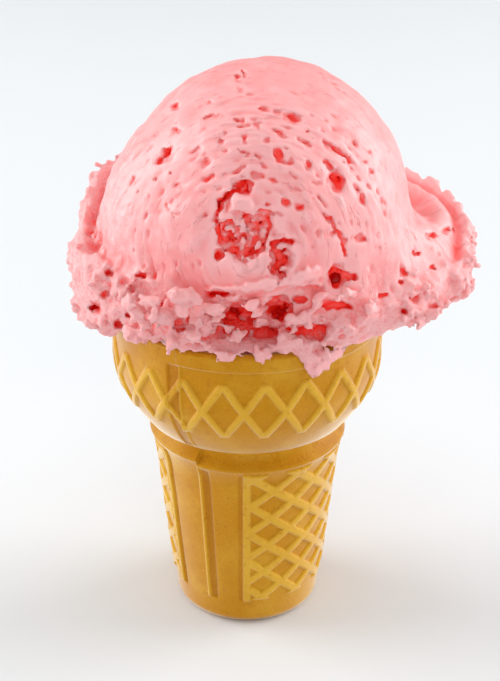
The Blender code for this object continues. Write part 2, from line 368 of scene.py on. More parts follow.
def bowlRadius(height):
    # A swelling curve from the lip out to the bowl's width, upright above that
    share = (height - wafer["lipHeight"]) / (wafer["bowlHeight"] - wafer["lipHeight"])
    swell = np.sin(np.clip(share, 0.0, 1.0) * math.pi / 2.0) ** 0.88
    return wafer["lip"] + (wafer["bowl"] - wafer["lip"]) * swell


def bowlRelief(azimuth, height):
    # Ribs of two crossing zigzags, a sunk strip and a thin flash at each seam, in mm
    cell = 360.0 / wafer["latticeCount"]
    along = (azimuth - wafer["latticeStart"]) / cell
    tall = 2.0 * wafer["latticeReach"]
    across = (height - wafer["latticeMiddle"]) / tall
    run = math.radians(cell) * wafer["bowl"]
    rib = np.zeros_like(azimuth)
    for sign in (1.0, -1.0):
        away = toLines(along, across, run, tall, sign)
        rib = np.maximum(rib, ridge(away, wafer["latticeWidth"], 0.6))
    inside = 1.0 - ease(wafer["latticeReach"] - 0.2, wafer["latticeReach"] + 0.5,
                        np.abs(height - wafer["latticeMiddle"]))
    relief = wafer["ribHeight"] * rib * inside
    seam = sinceSeam(azimuth)
    belowBand = 1.0 - ease(wafer["bandHeight"] - 0.8, wafer["bandHeight"], height)
    strip = ease(-4.9, -4.4, seam) * (1.0 - ease(0.9, 1.3, seam))
    flash = ridge((seam - 1.6) * 0.5, 0.55)
    return relief + (wafer["bowlFlash"] * flash - wafer["stripDepth"] * strip) * belowBand


def bowlRows():
    # Heights and radii up the outside of the bowl, over the rim, down the inside to the floor
    low = wafer["lipHeight"]
    outside = np.linspace(low, wafer["rimHeight"] - 0.7, 118)
    radii = bowlRadius(outside)
    start = [(wafer["neck"] - 1.2, low - 3.2), (wafer["neck"] - 0.4, low - 2.2),
             (wafer["lip"] - 1.6, low - 1.3), (wafer["lip"] - 0.5, low - 0.75)]
    turn = np.radians(np.linspace(20.0, 160.0, 7))
    middle = wafer["bowl"] - wafer["wall"] / 2.0 + 0.15
    rim = [(middle + 1.15 * math.cos(t), wafer["rimHeight"] - 0.7 + 0.7 * math.sin(t)) for t in turn]
    inner = np.linspace(wafer["rimHeight"] - 1.2, wafer["floorHeight"] + 1.0, 12)
    inside = [(float(bowlRadius(h)) - wafer["wall"], h) for h in inner]
    inside.append((float(bowlRadius(wafer["floorHeight"])) - wafer["wall"] - 1.5, wafer["floorHeight"]))
    rows = start + list(zip(radii, outside)) + rim + inside
    return np.array(rows), len(start), len(start) + len(outside)


def makeBowl():
    # Point = (r sin a, -r cos a, z): the turned profile with its relief added to r
    columns = 620
    azimuth = np.linspace(-180.0, 180.0, columns, endpoint=False)[None, :]
    rows, first, last = bowlRows()
    radius = np.repeat(rows[:, :1], columns, 1)
    height = np.repeat(rows[:, 1:], columns, 1)
    azimuth = np.repeat(azimuth, len(rows), 0)
    outside = np.zeros(len(rows))
    outside[first:last] = 1.0
    relief = bowlRelief(azimuth, height) * outside[:, None]
    band = wafer["bandStep"] * ease(wafer["bandHeight"] - 0.25, wafer["bandHeight"] + 0.25, height)
    band = band * halfOf(azimuth) * (outside[:, None] > 0)
    turn = np.radians(azimuth)
    around = np.stack([np.sin(turn), -np.cos(turn), height / 30.0], -1)
    sway = wafer["sway"] * ripple(around, 0.7, 21)
    radius = radius + relief + band + sway
    points = np.stack([radius * np.sin(turn), -radius * np.cos(turn), height], -1) * mm
    flat, quads = wrapped(points)
    piece = meshFrom("wafer_bowl", flat, quads)
    paint(piece, "relief", np.concatenate([relief.ravel(), np.zeros(2)]))
    return piece


def stemRadius(height):
    # A straight taper that flares out under the shoulder
    share = (height - wafer["baseRise"]) / (wafer["bodyHeight"] - wafer["baseRise"])
    flare = np.clip((height - wafer["bodyHeight"]) / wafer["flareReach"] + 1.0, 0.0, 1.0) ** 2
    return wafer["baseEdge"] + (wafer["bodyTop"] - wafer["baseEdge"]) * share + wafer["flare"] * flare


def stemRelief(azimuth, height):
    # Two waffle panels of raised diamonds inside raised borders, a flash and a groove at
    # each seam, in mm
    turn = (azimuth - wafer["seam"]) % 180.0
    left = wafer["plainHalf"]
    right = 180.0 - wafer["plainHalf"]
    tall = wafer["diamondHeight"]
    startTurn, startHeight = wafer["diamondAt"]
    lean = wafer["diamondLean"] * (height - startHeight)
    along = (turn - startTurn - lean) / wafer["diamondAngle"] + 0.5
    across = (height - startHeight) / tall
    run = math.radians(wafer["diamondAngle"]) * stemRadius(height).mean()
    rib = np.zeros_like(azimuth)
    for sign in (1.0, -1.0):
        away = toLines(along, across, run, tall, sign)
        rib = np.maximum(rib, ridge(away, wafer["panelRibWidth"], 0.8))
    perDegree = math.radians(1.0) * stemRadius(height)
    inPanel = ease(left - 0.3, left + 0.3, turn) * (1.0 - ease(right - 0.3, right + 0.3, turn))
    inPanel = inPanel * ease(wafer["panelLow"] - 0.3, wafer["panelLow"] + 0.2, height)
    inPanel = inPanel * (1.0 - ease(wafer["panelHigh"] - 0.2, wafer["panelHigh"] + 0.3, height))
    relief = inPanel * (wafer["panelRib"] * rib - wafer["panelSunk"])
    uprightReach = ease(wafer["panelLow"] - 0.9, wafer["panelLow"] - 0.4, height)
    uprightReach = uprightReach * (1.0 - ease(wafer["panelHigh"], wafer["panelHigh"] + 0.5, height))
    for edge in (left, right):
        border = ridge((turn - edge) * perDegree, wafer["borderWidth"])
        relief = np.maximum(relief, wafer["border"] * border * uprightReach)
    for edge, side in ((left, -1.0), (right, 1.0)):
        groove = ridge((turn - edge) * perDegree - side * 1.4, 0.8)
        relief = relief - wafer["groove"] * groove * uprightReach
    seam = sinceSeam(azimuth)
    relief = relief + wafer["stemFlash"] * ridge(seam * perDegree, 0.65) * uprightReach
    return relief - wafer["seamGroove"] * ridge((seam - 4.2) * perDegree, 1.6, 0.6) * uprightReach


def stemRows():
    # Heights and radii from the flat base round its edge, up the sides, over the shoulder
    turn = np.radians(np.linspace(0.0, 90.0, 12))[1:]
    edge = [(wafer["baseFlat"] + (wafer["baseEdge"] - wafer["baseFlat"]) * math.sin(t),
             wafer["baseRise"] * (1.0 - math.cos(t))) for t in turn]
    base = [(2.0, 0.0), (wafer["baseFlat"] - 1.0, 0.0), (wafer["baseFlat"], 0.0)]
    body = np.linspace(wafer["baseRise"], wafer["bodyHeight"], 132)[1:]
    sides = list(zip(stemRadius(body), body))
    top = wafer["shoulderHeight"]
    neck = [(wafer["shoulder"] - 0.1, wafer["bodyHeight"] + 0.12),
            (wafer["shoulder"], wafer["bodyHeight"] + 0.35),
            (wafer["shoulder"], top - 0.3), (wafer["shoulder"] - 0.35, top),
            (wafer["neck"] + 0.9, top + 0.75), (wafer["neck"] + 0.25, top + 1.3),
            (wafer["neck"], top + 2.0), (wafer["neck"], top + 3.2), (wafer["neck"] - 0.2, top + 4.2)]
    return np.array(base + edge + sides + neck), len(base) + len(edge), len(neck)


def makeStem():
    # Point = (r sin a, -r cos a, z), as for the bowl. The left half of the mould sat higher.
    columns = 620
    rows, first, neckRows = stemRows()
    azimuth = np.repeat(np.linspace(-180.0, 180.0, columns, endpoint=False)[None, :], len(rows), 0)
    radius = np.repeat(rows[:, :1], columns, 1)
    height = np.repeat(rows[:, 1:], columns, 1)
    onBody = np.zeros(len(rows))
    onBody[first:len(rows) - neckRows] = 1.0
    relief = stemRelief(azimuth, height) * onBody[:, None]
    slip = ease(wafer["bodyHeight"] - 6.0, wafer["bodyHeight"], height)
    height = height + wafer["halfSlip"] * slip * (1.0 - halfOf(azimuth))
    turn = np.radians(azimuth)
    around = np.stack([np.sin(turn), -np.cos(turn), height / 30.0], -1)
    sway = wafer["sway"] * ripple(around, 0.7, 22) * ease(1.0, 6.0, height)
    radius = radius + relief + sway
    points = np.stack([radius * np.sin(turn), -radius * np.cos(turn), height], -1) * mm
    flat, quads = wrapped(points)
    piece = meshFrom("wafer_stem", flat, quads)
    paint(piece, "relief", np.concatenate([relief.ravel(), np.zeros(2)]))
    return piece


def makeWaferMaterial():
    # Ribs are painted paler and sunk parts darker, partly as baked tone and partly as painted
    # highlight and painted shade; light patches and specks vary at random, pores all over
    paper = Paper("baked_wafer")
    spot = paper.place()
    relief = paper.layer("relief")
    mottle = paper.noise(spot, 90.0, 4.0)
    speckle = paper.noise(spot, 700.0, 2.0)
    grain = paper.noise(spot, 2400.0, 3.0, 0.65)
    raised = relief.between(0.0, 0.50)
    sunk = 1.0 - relief.between(-0.40, 0.10)
    # Paler ribs: partly a painted highlight
    colour = paper.blend(raised * 0.45, (*wafer["colour"], 1.0), (*wafer["pale"], 1.0))
    colour = paper.blend(mottle.between(0.40, 0.70) * 0.30, colour, (*wafer["pale"], 1.0))
    # Darker sunk parts: partly painted shade
    colour = paper.blend((sunk * 0.45).clipped(), colour, (*wafer["dark"], 1.0))
    colour = paper.blend(speckle.between(0.55, 0.75) * 0.35, colour, (*wafer["dark"], 1.0))
    colour = paper.blend(grain.between(0.55, 0.70) * 0.20, colour, (*wafer["pale"], 1.0))
    pores = paper.node("ShaderNodeTexVoronoi", {}, {"Vector": spot, "Scale": 1000.0})
    pits = 1.0 - pores.between(0.08, 0.34)
    height = grain * 0.9 + mottle * 0.8 + speckle * 0.5 - pits * 0.7
    return paper.finish({
        "Base Color": colour,
        "Roughness": 0.62 + mottle * 0.12,
        "Specular IOR Level": 0.03,
        "Coat Weight": 1.0,
        "Coat Roughness": 0.38,
        "Coat IOR": 1.17,
        "Sheen Weight": 1.0,
        "Sheen Roughness": 0.36,
        "Sheen Tint": (1.0, 0.96, 0.85, 1.0),
        "Normal": paper.bump(height, 0.00018, 0.8),
    })


waferMaterial = makeWaferMaterial()
for waferPiece in (makeBowl(), makeStem()):
    waferPiece.data.materials.append(waferMaterial)
    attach(waferPiece, "root")
    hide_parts("wafer_cup")
print("wafer cone made")


# Ice cream: one mass, worked out in mm as a field that is negative inside. Its surface is
# then drawn where the field is zero.

scoop = {
    "step": 0.36, "quickStep": 0.6, "mostTriangles": 194000,
    "low": (-43.5, -37.5, 66.5), "high": (54.0, 49.5, 129.5),
    "centre": (3.6, 0.0, 94.8), "radius": 30.2,
    # azimuth, ridge radius and height, lower edge radius and height, radius and height of
    # the crease beside the ball, width over which ball and skirt melt together
    "stations": (
        (-180, 44.0, 91.0, 41.0, 80.5, 35.0, 87.0, 4.0),
        (-145, 39.2, 101.5, 37.0, 82.0, 32.0, 94.2, 5.0),
        (-120, 37.8, 98.6, 35.8, 78.5, 32.2, 93.4, 5.0),
        (-95, 37.0, 93.4, 36.3, 74.0, 32.4, 90.0, 4.5),
        (-75, 37.2, 89.6, 36.8, 71.0, 32.0, 88.0, 4.0),
        (-62, 35.6, 88.0, 35.2, 72.0, 31.0, 87.6, 4.0),
        (-50, 33.6, 86.8, 33.2, 73.0, 29.6, 87.4, 4.0),
        (-38, 32.2, 85.6, 32.0, 73.0, 28.6, 87.2, 4.0),
        (-21, 31.0, 84.6, 31.0, 72.9, 27.6, 86.0, 3.0),
        (-9, 29.4, 81.0, 30.4, 72.9, 26.0, 80.0, 1.5),
        (10, 28.6, 79.0, 30.2, 72.9, 25.5, 79.0, 1.5),
        (26, 31.5, 84.0, 31.0, 72.9, 28.6, 86.5, 3.0),
        (45, 37.0, 84.8, 35.6, 75.4, 30.5, 90.5, 8.0),
        (62, 42.5, 85.2, 40.0, 76.3, 32.5, 92.0, 9.0),
        (82, 48.0, 86.4, 46.0, 76.0, 34.5, 92.5, 8.0),
        (105, 49.8, 91.6, 45.5, 78.0, 36.5, 89.5, 6.0),
        (130, 48.6, 94.0, 44.0, 79.0, 37.0, 89.0, 5.0),
        (165, 44.8, 91.0, 41.5, 80.5, 36.0, 87.0, 4.0),
        (180, 44.0, 91.0, 41.0, 80.5, 35.0, 87.0, 4.0),
    ),
    # The ball bulges on the left: centre, radius, width over which it melts in
    "bulge": ((-9.6, -2.0, 91.9), 21.2, 4.5),
    # Where the smooth skin of the ball ends in front: columns and rows
    "skinColumns": (128, 150, 170, 198, 215, 228, 236, 244, 252, 262, 275, 290, 300, 312, 322, 330,
                    338, 352, 368),
    "skinRows": (276, 284, 290, 286, 285, 288, 300, 304, 299, 295, 291, 286, 288, 291, 280, 270,
                 268, 266, 262),
    "skinAzimuths": (-26.0, -15.0, 26.0, 38.0),
    "wallRadius": 26.6,
    # Lower edge of the ice cream over the wafer's rim in front: columns and rows
    "hemColumns": (110, 122, 150, 170, 192, 200, 207, 213, 222, 232, 242, 252, 262, 275, 292, 298,
                   304, 309, 314, 319, 324, 332, 340, 352, 366, 384),
    "hemRows": (336, 339, 346, 352, 357, 365, 380, 366, 364, 367, 372, 368, 366, 358, 351, 356,
                368, 379, 385, 380, 371, 366, 362, 351, 342, 333),
    # Hollows: column, row, half width, half height in pixels, depth in mm
    "hollows": (
        (242, 312, 21, 13, 4.6), (238, 330, 26, 20, 5.2), (278, 310, 15, 16, 5.4),
        (264, 337, 19, 13, 5.8), (210, 342, 20, 10, 4.8), (240, 348, 24, 6, 4.0),
        (312, 331, 28, 9, 4.8), (337, 306, 16, 5, 3.0), (180, 322, 9, 5, 1.6), (150, 346, 6, 3, 1.4),
        (128, 316, 5, 4, 1.4), (192, 346, 8, 3, 1.8), (300, 300, 9, 4, 2.0), (336, 278, 9, 12, 5.5),
        (350, 276, 10, 5, 3.0), (219, 294, 14, 4, 2.6), (96, 308, 6, 6, 2.8), (117, 323, 5, 5, 2.2),
        (163, 306, 3, 4, 1.6), (404, 311, 6, 4, 2.0), (432, 306, 7, 3, 1.8), (416, 253, 3, 2, 1.8),
        (433, 267, 4, 2, 1.4), (446, 231, 6, 3, 1.6), (430, 236, 5, 2, 1.2), (403, 272, 3, 6, 1.5),
        (401, 283, 3, 4, 1.5), (160, 341, 5, 4, 2.0), (178, 329, 11, 3, 1.6), (150, 325, 6, 3, 1.2),
        (110, 274, 6, 4, 1.4), (142, 276, 9, 3, 1.4), (132, 290, 3, 6, 1.2), (104, 294, 4, 4, 1.3),
        (188, 317, 4, 4, 1.2), (360, 238, 9, 4, 1.0), (384, 296, 6, 3, 1.2), (413, 300, 5, 3, 1.2),
        (456, 300, 6, 3, 1.4),
    ),
    # Lumps: column, row, distance from the axis, half sizes across, up and deep in mm, tilt
    "lumps": (
        (250, 305, 29.4, 2.3, 1.5, 1.8, 10), (258, 312, 29.0, 1.5, 2.6, 1.5, 8),
        (266, 321, 28.8, 1.7, 1.8, 1.5, -25), (284, 309, 30.0, 0.9, 2.0, 1.0, 20),
        (292, 317, 29.6, 2.4, 1.6, 1.5, 0), (304, 316, 30.0, 2.2, 1.7, 1.5, 0),
        (314, 308, 30.6, 1.6, 3.4, 1.5, -28), (294, 328, 29.4, 0.8, 1.9, 0.8, 0),
        (287, 322, 29.2, 1.2, 1.4, 1.0, 30), (237, 337, 28.3, 1.9, 1.7, 1.4, 10),
        (246, 331, 28.0, 0.9, 2.2, 0.9, -30), (281, 340, 29.0, 1.4, 2.0, 1.3, 0),
        (272, 330, 28.6, 1.0, 1.2, 1.0, 0), (226, 318, 27.2, 1.3, 1.2, 1.0, 0),
        (360, 319, 34.6, 4.9, 2.3, 2.4, 14), (372, 309, 36.2, 2.6, 1.9, 2.0, 25),
        (345, 326, 33.2, 2.2, 2.2, 2.0, 0), (326, 318, 31.8, 1.8, 1.5, 1.6, 30),
        (335, 332, 32.0, 2.2, 1.7, 1.7, 20), (322, 297, 32.0, 2.4, 1.5, 1.6, 20),
        (345, 292, 34.0, 3.0, 1.4, 1.8, 12), (365, 289, 36.0, 2.8, 1.4, 1.8, 6),
        (392, 283, 39.0, 2.8, 1.5, 2.0, 0), (196, 300, 31.6, 3.2, 2.2, 2.2, -10),
        (212, 308, 30.6, 2.6, 1.8, 1.9, 8), (176, 296, 32.8, 3.0, 1.8, 2.2, 0),
        (216, 318, 30.6, 2.0, 1.6, 1.7, 0), (200, 321, 31.4, 2.6, 1.6, 2.0, 10),
        (184, 310, 32.4, 2.4, 2.0, 1.8, 0), (192, 334, 31.8, 2.8, 1.6, 1.9, -5),
        (174, 339, 32.2, 2.6, 1.5, 1.8, -12), (205, 341, 31.0, 2.0, 1.4, 1.5, -10),
        (168, 352, 31.2, 2.4, 1.0, 1.4, -8), (186, 354, 30.8, 1.8, 0.8, 1.1, -8),
        (160, 318, 33.4, 2.8, 2.2, 2.0, 0), (140, 316, 34.6, 2.8, 2.4, 2.2, 0),
        (128, 303, 35.8, 2.6, 2.2, 2.0, 0), (110, 300, 37.0, 2.2, 2.4, 1.8, 0),
        (146, 334, 33.2, 2.4, 1.7, 1.7, 0), (128, 330, 34.4, 2.2, 1.5, 1.6, 0),
        (150, 300, 34.0, 2.6, 1.8, 1.8, 0), (88, 326, 37.0, 1.5, 2.0, 1.4, -8),
        (85, 333, 37.0, 0.9, 1.5, 0.8, -12), (79, 300, 38.0, 1.6, 3.0, 1.7, 0),
        (472, 291, 48.0, 2.4, 2.6, 2.4, 0), (478, 300, 48.4, 1.3, 1.1, 1.4, 20),
        (466, 299, 47.6, 1.8, 1.2, 1.6, 0), (452, 303, 46.4, 2.2, 1.4, 1.8, 15),
        (430, 315, 43.0, 2.4, 1.3, 1.8, 18), (406, 319, 40.0, 2.2, 1.3, 1.8, 18),
        (386, 322, 37.8, 2.2, 1.4, 1.8, 10), (416, 296, 42.6, 2.6, 1.4, 2.0, 10),
        (440, 290, 45.4, 2.4, 1.4, 2.0, 5), (228, 358, 30.2, 1.7, 0.9, 1.0, 0),
        (247, 361, 30.2, 1.6, 0.9, 0.9, 0), (270, 356, 30.2, 1.8, 0.9, 1.0, 5),
        (256, 352, 29.6, 1.3, 1.0, 1.0, 0), (214, 355, 30.2, 1.2, 1.0, 0.9, 0),
        (240, 353, 29.4, 1.2, 0.9, 0.9, 0), (312, 356, 30.6, 2.6, 1.8, 1.3, 10),
        (316, 369, 30.3, 1.5, 1.8, 0.9, -10), (328, 352, 31.2, 2.2, 1.6, 1.3, 30),
        (304, 347, 30.2, 1.6, 1.0, 1.0, 0), (340, 345, 32.0, 2.2, 1.5, 1.4, 20),
        (358, 340, 33.4, 2.2, 1.3, 1.5, 15),
    ),
    # Pits of the ball: column, row, half length, half width in pixels, slope, depth in mm
    "pits": (
        (168, 153, 8, 4.5, 58, 2.8), (161, 160, 6, 3.5, 40, 1.8), (237, 78, 3, 4, 20, 1.1),
        (240, 89, 5, 3.5, -20, 1.1), (176, 107, 5, 3, 10, 1.2), (176, 130, 5, 3.5, -10, 1.3),
        (212, 118, 9, 2.2, 10, 0.9), (237, 121, 6, 2.5, -40, 1.0), (242, 122, 3, 4, 30, 0.9),
        (197, 150, 7, 2.2, 30, 0.8), (207, 163, 6, 3.5, 35, 1.1), (210, 178, 7, 3, 25, 1.1),
        (245, 141, 3, 3.5, 0, 0.9), (245, 153, 7, 2.5, -30, 1.0), (239, 170, 9, 3.2, 30, 1.1),
        (254, 176, 5, 3, -35, 1.1), (242, 185, 5, 6, 20, 2.6), (264, 109, 7, 2.2, -10, 0.9),
        (276, 112, 6, 2.2, -15, 0.9), (291, 119, 8, 4.5, -28, 2.2), (279, 134, 10, 2.5, -22, 1.0),
        (256, 126, 6, 2.5, -50, 0.9), (279, 155, 5, 8, 15, 1.8), (289, 163, 7, 3, -10, 1.3),
        (308, 166, 4, 5, 15, 1.6), (304, 143, 9, 2.5, -30, 1.0), (266, 141, 5, 2.2, -30, 0.8),
        (336, 151, 14, 3, -40, 1.5), (326, 143, 6, 2.6, -50, 1.2), (347, 161, 5, 3, -50, 1.2),
        (328, 166, 8, 4, -50, 1.8), (336, 180, 9, 12, 25, 3.4), (353, 143, 5, 2.6, -60, 1.0),
        (371, 172, 4, 3, 60, 1.0), (357, 190, 2.5, 4, 10, 1.0), (361, 199, 3.5, 7, 15, 1.3),
        (286, 203, 6, 3.5, -28, 1.6), (299, 208, 6, 4, -10, 1.7), (268, 203, 3.5, 3, 20, 1.1),
        (219, 254, 5.5, 6, 0, 3.0), (334, 234, 4, 3.5, 0, 1.4), (344, 242, 3.5, 5, 0, 1.4),
        (327, 220, 5, 2, -40, 1.0), (260, 177, 5, 2.5, -20, 1.0), (274, 180, 6, 2.2, -20, 1.0),
        (290, 175, 4, 2.2, -25, 0.8), (178, 185, 4, 2, 20, 0.8), (172, 172, 2, 2, 0, 0.8),
        (156, 179, 2, 2, 0, 0.8), (133, 178, 2, 2, 0, 0.8), (205, 215, 4, 3, 40, 0.9),
        (305, 131, 3, 2.5, 0, 0.9), (367, 152, 2, 2, 0, 0.8), (364, 162, 2, 2, 0, 0.8),
        (243, 75, 2, 3, 0, 0.8), (210, 101, 3, 2, 0, 0.8), (298, 190, 5, 2, -25, 0.8),
        (320, 198, 5, 2, -35, 0.8), (222, 141, 5, 2, 20, 0.7), (226, 133, 3, 2, 20, 0.7),
        (258, 156, 4, 2, -30, 0.8), (262, 165, 4, 2, -30, 0.8), (315, 183, 4, 2, -30, 0.8),
    ),
    # Cracks of the ball: points down the middle, half width in pixels, depth in mm
    "cracks": (
        (((241, 184), (236, 190), (227, 194), (220, 200), (218, 210), (217, 217)), 3.4, 3.0),
        (((215, 220), (219, 223), (220, 234), (225, 241), (233, 241), (240, 239)), 3.2, 2.8),
        (((245, 217), (247, 224), (246, 232), (250, 238)), 2.6, 2.0),
        (((231, 222), (237, 221)), 2.6, 1.8),
        (((256, 220), (260, 226), (258, 236), (264, 240)), 2.6, 1.8),
        (((292, 242), (283, 239), (272, 243), (274, 251), (277, 257), (285, 260)), 3.0, 2.8),
        (((277, 258), (274, 266), (272, 272)), 2.8, 2.6),
        (((232, 246), (237, 255), (235, 258)), 2.4, 1.8),
        (((249, 252), (252, 257)), 2.6, 1.8),
        (((322, 214), (331, 219), (336, 229), (342, 240), (345, 256)), 1.8, 1.5),
        (((165, 205), (172, 216), (181, 213)), 1.0, 0.5),
    ),
    # Torn patches: column, row, half width, half height in pixels, depth in mm
    "tornPatches": ((246, 236, 29, 25, 2.2), (279, 258, 13, 20, 2.2), (228, 205, 5, 10, 0.8),
                    (243, 188, 9, 9, 1.6), (262, 222, 14, 12, 1.4)),
    # Raised flakes: column, row, half length, half width in pixels, slope, height in mm
    "flakes": ((241, 205, 17, 11, 10, 1.0), (270, 258, 4, 16, 12, 1.1), (225, 289, 24, 4, 5, 0.9),
               (262, 285, 30, 7, 12, 1.0), (304, 276, 22, 9, 30, 1.0), (182, 228, 30, 34, 0, 0.7)),
    "crumbSizes": ((4.2, 0.5), (2.1, 0.6), (1.15, 0.5)),       # cell size and strength in mm
    "grainPixel": (250.0, 262.0),        # column and row that the drag lines circle
    # Reach in mm and weight of the boxes that tell how shut in a point is, depth below the
    # untorn form past which it counts as deeper still, and by how much for each mm
    # These set how much painted shade goes into creases and pits
    "shutIn": ((0.75, 0.30), (1.6, 0.35), (3.4, 0.35)), "sunkFrom": 1.6, "sunkShare": 0.17,
    # Even share of painted shade for the ice cream inside the bowl
    "coreHollowShade": 0.5,
    # Where the ball's front is most worked over: column, row, half sizes in pixels, slope
    "workedOval": (285.0, 172.0, 112.0, 92.0, -25.0),
    "strayCrumbs": 600,
}


def stationSizes(azimuth):
    # Sizes at every azimuth, eased from station to station
    stations = np.array(scoop["stations"], float)
    index = np.clip(np.searchsorted(stations[:, 0], azimuth, side="right") - 1, 0, len(stations) - 2)
    share = (azimuth - stations[index, 0]) / (stations[index + 1, 0] - stations[index, 0])
    share = (share * share * (3.0 - 2.0 * share))[..., None]
    sizes = stations[index] * (1.0 - share) + stations[index + 1] * share
    return [sizes[..., column].astype(np.float32) for column in range(1, stations.shape[1])]


def together(a, b, width):
    # The nearer of two fields, melted together over a width
    near = np.maximum(width - np.abs(a - b), 0.0)
    return np.minimum(a, b) - near * near / (4.0 * width)


def common(a, b, width):
    # The part that two fields share, with its edge rounded over a width
    return -together(-a, -b, width)


def roughForm(x, y, z):
    # Field of the ball, the skirt and the ice cream inside the rim, before any tearing
    radius = np.hypot(x, y)
    azimuth = np.degrees(np.arctan2(x, -y))
    sizes = stationSizes(azimuth)
    ridgeRadius, ridgeHeight, lowRadius, lowHeight, creaseRadius, creaseHeight, melt = sizes
    rise = ease(0.0, 1.0, (radius - creaseRadius) / np.maximum(ridgeRadius - 2.5 - creaseRadius, 1.5))
    top = creaseHeight + (ridgeHeight - creaseHeight) * rise
    farRight = ease(72.0, 88.0, azimuth) * (1.0 - ease(124.0, 140.0, azimuth))
    groove = np.exp(-((radius - ridgeRadius + 4.6) / 1.2) ** 2)
    swell = np.exp(-((radius - ridgeRadius + 8.0) / 1.8) ** 2)
    top = top + farRight * (1.0 * swell - 2.2 * groove)
    rim = wafer["rimHeight"] - 0.4
    out = np.clip((radius - 29.4) / np.maximum(lowRadius - 29.4, 0.6), 0.0, 1.3)
    bottom = np.minimum(rim, lowHeight) + (lowHeight - np.minimum(rim, lowHeight)) * out
    share = np.clip((z - lowHeight) / (ridgeHeight - lowHeight), 0.0, 1.0)
    edge = lowRadius + (ridgeRadius - lowRadius) * share + 1.0 * np.sin(math.pi * share)
    skirtField = common(0.85 * (z - top), 0.9 * (radius - edge), 4.0)
    skirtField = common(skirtField, 0.85 * (bottom - z), 2.0)
    cx, cy, cz = scoop["centre"]
    ballField = np.sqrt((x - cx) ** 2 + (y - cy) ** 2 + (z - cz) ** 2) - scoop["radius"]
    (cx, cy, cz), size, width = scoop["bulge"]
    bulge = np.sqrt((x - cx) ** 2 + (y - cy) ** 2 + (z - cz) ** 2) - size
    ballField = together(ballField, bulge, width)
    return radius, azimuth, melt, skirtField.astype(np.float32), ballField.astype(np.float32)


def inPhoto(points):
    # Pixel of each point, shifted a little by noise so that no edge is drawn with a ruler
    column, row = toPixels(points * mm)
    return column + 3.0 * ripples(points, 1.8, 3, 31), row + 3.0 * ripples(points, 1.8, 3, 41)


def fromOval(x, y, px, py, halfLength, halfWidth, slope):
    # Distance from an oval's middle, 1 on its edge; the slope is that of its long side
    turn = math.radians(slope)
    along = (x - px) * math.cos(turn) - (y - py) * math.sin(turn)
    across = (x - px) * math.sin(turn) + (y - py) * math.cos(turn)
    return np.hypot(along / halfLength, across / halfWidth)


def fromLine(x, y, points):
    # Distance in pixels to a line through points
    best = np.full(x.shape, 999.0)
    for (ax, ay), (bx, by) in zip(points, points[1:]):
        run = bx - ax
        rise = by - ay
        share = np.clip(((x - ax) * run + (y - ay) * rise) / (run * run + rise * rise), 0.0, 1.0)
        best = np.minimum(best, np.hypot(x - ax - share * run, y - ay - share * rise))
    return best


def photoMarks(points, facing):
    # Depth in mm of the hollows, pits, cracks and torn patches, less the height of flakes
    x, y = inPhoto(points)
    depth = np.zeros(x.shape)
    raised = np.zeros(x.shape)
    broken = 0.40 * ripple(points, 2.6, 48) + 0.28 * ripple(points, 1.3, 49)
    for px, py, halfWide, halfTall, deep in scoop["hollows"]:
        near = (np.abs(x - px) < 1.3 * halfWide) & (np.abs(y - py) < 1.3 * halfTall)
        oval = fromOval(x[near], y[near], px, py, halfWide, halfTall, 0.0) + broken[near]
        depth[near] = np.maximum(depth[near], deep * (1.0 - ease(0.62, 1.08, oval)))
    for px, py, halfLength, halfWidth, slope, deep in scoop["pits"]:
        near = (np.abs(x - px) < 1.5 * halfLength + 4) & (np.abs(y - py) < 1.5 * halfLength + 8)
        oval = fromOval(x[near], y[near], px, py, halfLength, halfWidth, slope) + 0.7 * broken[near]
        depth[near] = np.maximum(depth[near], 0.85 * deep * (1.0 - ease(0.30, 1.15, oval)))
    for line, halfWidth, deep in scoop["cracks"]:
        columns, rows = np.array(line).T
        near = (x > columns.min() - 8) & (x < columns.max() + 8)
        near &= (y > rows.min() - 8) & (y < rows.max() + 8)
        away = fromLine(x[near], y[near], line) / halfWidth - 0.5 * ripple(points[near], 2.2, 47)
        depth[near] = np.maximum(depth[near], deep * (1.0 - ease(0.35, 1.2, away)))
    for px, py, halfWide, halfTall, deep in scoop["tornPatches"]:
        near = (np.abs(x - px) < 1.2 * halfWide) & (np.abs(y - py) < 1.2 * halfTall)
        oval = fromOval(x[near], y[near], px, py, halfWide, halfTall, 0.0) + 0.8 * broken[near]
        lump, chance = cells(points[near] + 0.7 * ripple(points[near], 1.6, 53)[:, None], 1.8, 51)
        crumb = cells(points[near], 1.1, 52)[0]
        torn = deep * (0.35 + 1.1 * ease(0.22, 0.62, lump) + 0.7 * (chance - 0.5))
        torn += 0.5 * crumb * crumb
        depth[near] = np.maximum(depth[near], (1.0 - ease(0.75, 1.05, oval)) * torn)
    for px, py, halfLength, halfWidth, slope, tall in scoop["flakes"]:
        near = (np.abs(x - px) < 1.2 * halfLength + 6) & (np.abs(y - py) < 1.2 * halfLength + 6)
        oval = fromOval(x[near], y[near], px, py, halfLength, halfWidth, slope)
        raised[near] = np.maximum(raised[near], tall * (1.0 - ease(0.45, 1.0, oval)))
    seen = ease(0.05, 0.25, facing)
    return depth * seen - raised * seen


def grainFrame():
    # Axis that the scoop's drag lines circle, and two directions square to it
    eye, ray = pixelRay(*scoop["grainPixel"])
    centre = np.array(scoop["centre"]) * mm
    offset = eye - centre
    reach = offset @ ray
    hit = -reach - math.sqrt(reach * reach - offset @ offset + (scoop["radius"] * mm) ** 2)
    axis = (offset + ray * hit) / (scoop["radius"] * mm)
    side = np.cross(axis, (0.0, 0.0, 1.0))
    side /= np.linalg.norm(side)
    return axis, side, np.cross(axis, side)


